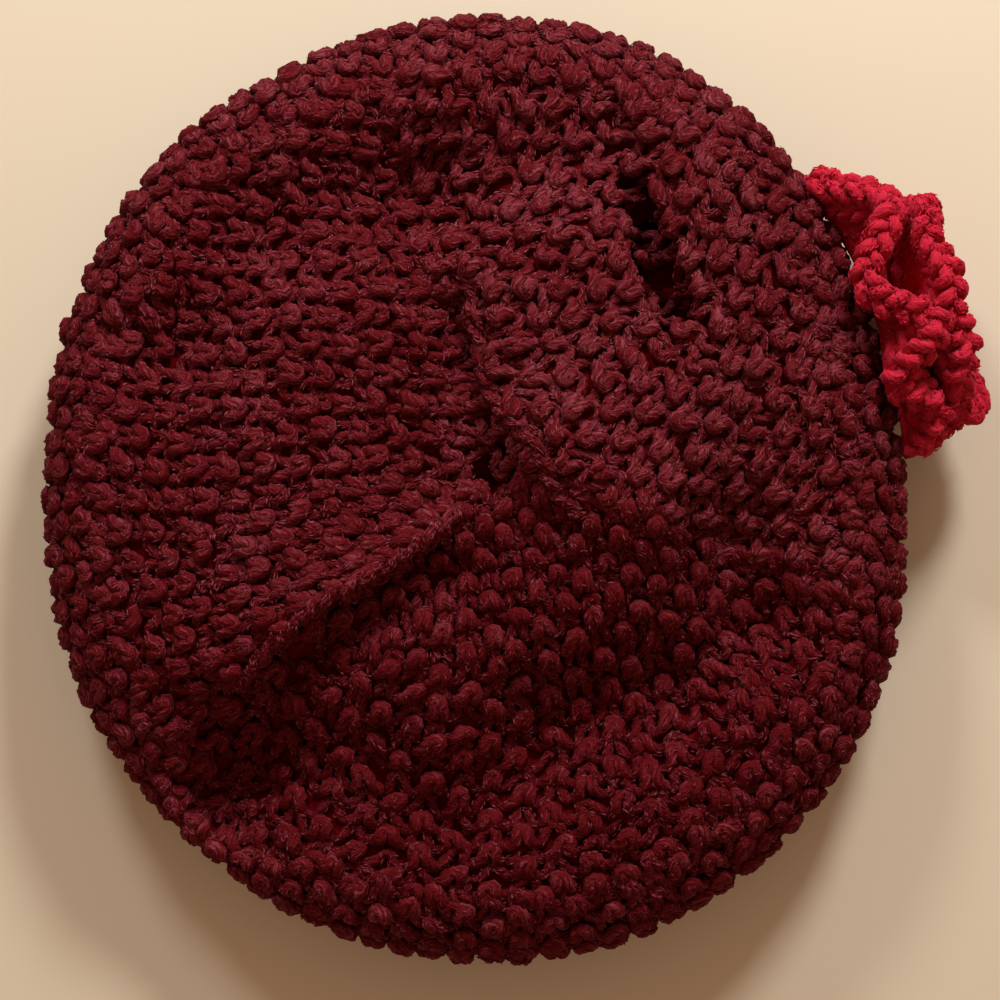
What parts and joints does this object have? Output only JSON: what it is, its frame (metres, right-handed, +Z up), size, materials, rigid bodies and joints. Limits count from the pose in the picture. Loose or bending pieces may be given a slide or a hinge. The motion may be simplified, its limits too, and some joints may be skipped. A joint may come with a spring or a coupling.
{
  "type": "slouchy beanie",
  "caption": "Slouchy seed stitch knit beanie lying crown up on its band, with a dented and folded crown and a ruffled crochet flower on its side.",
  "frame": {"origin": "on the ground plane, under the middle of the whole hat with its flower", "axes": "+Z up through the crown, +X to the side that carries the flower, +Y away from the viewer"},
  "size_m": [0.2784, 0.279, 0.0701],
  "materials": {
    "crown_knit": "soft plied burgundy yarn in seed stitch",
    "band_knit": "soft plied burgundy yarn in a plain rib",
    "flower_yarn": "soft red yarn in crochet"
  },
  "bodies": {
    "root": {"crown": "crown_knit", "brim_band": "band_knit", "flower_back_petals": "flower_yarn", "flower_front_petals": "flower_yarn"}
  },
  "joints": []
}
